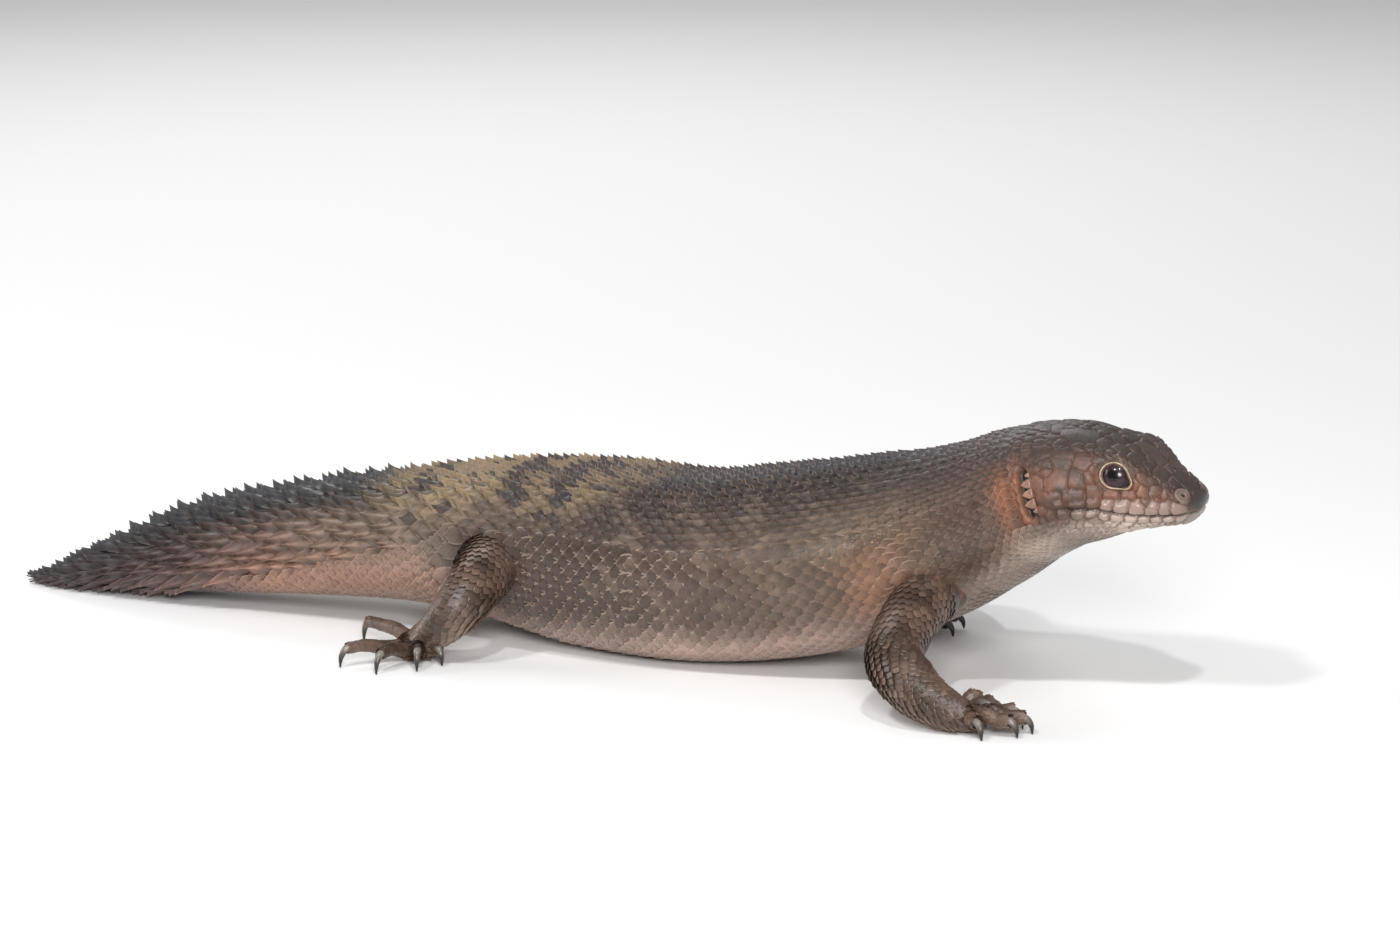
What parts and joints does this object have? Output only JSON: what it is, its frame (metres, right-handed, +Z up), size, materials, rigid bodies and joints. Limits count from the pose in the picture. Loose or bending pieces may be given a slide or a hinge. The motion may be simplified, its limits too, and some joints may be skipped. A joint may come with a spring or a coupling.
{
  "type": "gidgee skink",
  "caption": "Life-size gidgee skink in a still walking pose: spiny keeled back and tail, flat scaly head, belly and feet on the floor.",
  "frame": {"origin": "middle of the bounding box in plan, on the floor that the belly, feet and tail rest on", "axes": "+X runs from the tail to the snout, +Y to the animal's left, +Z up"},
  "size_m": [0.2728, 0.1006, 0.057],
  "materials": {
    "head_skin": "satin scales",
    "body_skin": "satin scales",
    "tail_skin": "satin scales",
    "limb_skin": "satin scales",
    "eye": "wet gloss",
    "claw": "horn"
  },
  "bodies": {
    "root": {"head": "head_skin", "neck": "body_skin", "torso": "body_skin", "hips": "body_skin", "tail_base": "tail_skin", "tail_end": "tail_skin", "eye_left": "eye", "eye_right": "eye", "front_leg_left": "limb_skin", "front_leg_right": "limb_skin", "front_foot_left": "limb_skin", "front_foot_right": "limb_skin", "hind_leg_left": "limb_skin", "hind_leg_right": "limb_skin", "hind_foot_left": "limb_skin", "hind_foot_right": "limb_skin", "front_claw_left_1": "claw", "front_claw_left_2": "claw", "front_claw_left_3": "claw", "front_claw_left_4": "claw", "front_claw_left_5": "claw", "front_claw_right_1": "claw", "front_claw_right_2": "claw", "front_claw_right_3": "claw", "front_claw_right_4": "claw", "front_claw_right_5": "claw", "hind_claw_left_1": "claw", "hind_claw_left_2": "claw", "hind_claw_left_3": "claw", "hind_claw_left_4": "claw", "hind_claw_left_5": "claw", "hind_claw_right_1": "claw", "hind_claw_right_2": "claw", "hind_claw_right_3": "claw", "hind_claw_right_4": "claw", "hind_claw_right_5": "claw"}
  },
  "joints": []
}
